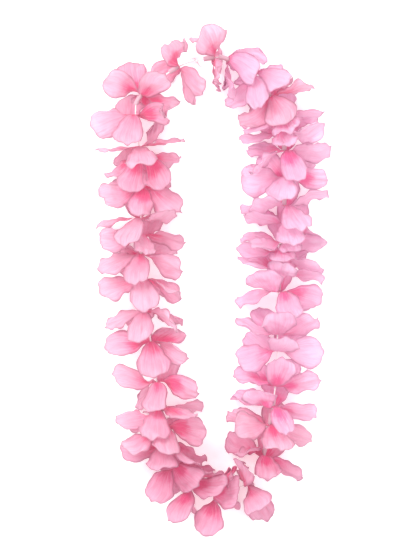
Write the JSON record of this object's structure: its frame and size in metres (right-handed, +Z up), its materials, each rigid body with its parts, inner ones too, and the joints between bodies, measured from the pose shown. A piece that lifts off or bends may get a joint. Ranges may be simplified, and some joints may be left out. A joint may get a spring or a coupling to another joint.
{
  "type": "lei",
  "caption": "Lei of pink fabric flower sheets threaded on a closed string with short straw spacers, laid flat in a long loop to be worn round the neck.",
  "frame": {"origin": "centre of the loop's footprint, on the surface that the lei lies on", "axes": "+Z up from the surface, +Y along the loop's length with the knot near its far end, +X across it"},
  "size_m": [0.2412, 0.511, 0.0706],
  "materials": {
    "petal_cloth": "thin woven polyester, printed hot pink at the throat and pale pink at the petal tips",
    "string_white": "white twisted thread with translucent white straw spacers"
  },
  "bodies": {
    "root": {"bloom_01": "petal_cloth", "bloom_02": "petal_cloth", "bloom_03": "petal_cloth", "bloom_04": "petal_cloth", "bloom_05": "petal_cloth", "bloom_06": "petal_cloth", "bloom_07": "petal_cloth", "bloom_08": "petal_cloth", "bloom_09": "petal_cloth", "bloom_10": "petal_cloth", "bloom_11": "petal_cloth", "bloom_12": "petal_cloth", "bloom_13": "petal_cloth", "bloom_14": "petal_cloth", "bloom_15": "petal_cloth", "bloom_16": "petal_cloth", "bloom_17": "petal_cloth", "bloom_18": "petal_cloth", "bloom_19": "petal_cloth", "bloom_20": "petal_cloth", "bloom_21": "petal_cloth", "bloom_22": "petal_cloth", "bloom_23": "petal_cloth", "bloom_24": "petal_cloth", "bloom_25": "petal_cloth", "bloom_26": "petal_cloth", "bloom_27": "petal_cloth", "bloom_28": "petal_cloth", "bloom_29": "petal_cloth", "bloom_30": "petal_cloth", "bloom_31": "petal_cloth", "bloom_32": "petal_cloth", "bloom_33": "petal_cloth", "bloom_34": "petal_cloth", "bloom_35": "petal_cloth", "bloom_36": "petal_cloth", "bloom_37": "petal_cloth", "bloom_38": "petal_cloth", "bloom_39": "petal_cloth", "bloom_40": "petal_cloth", "string": "string_white"}
  },
  "joints": []
}
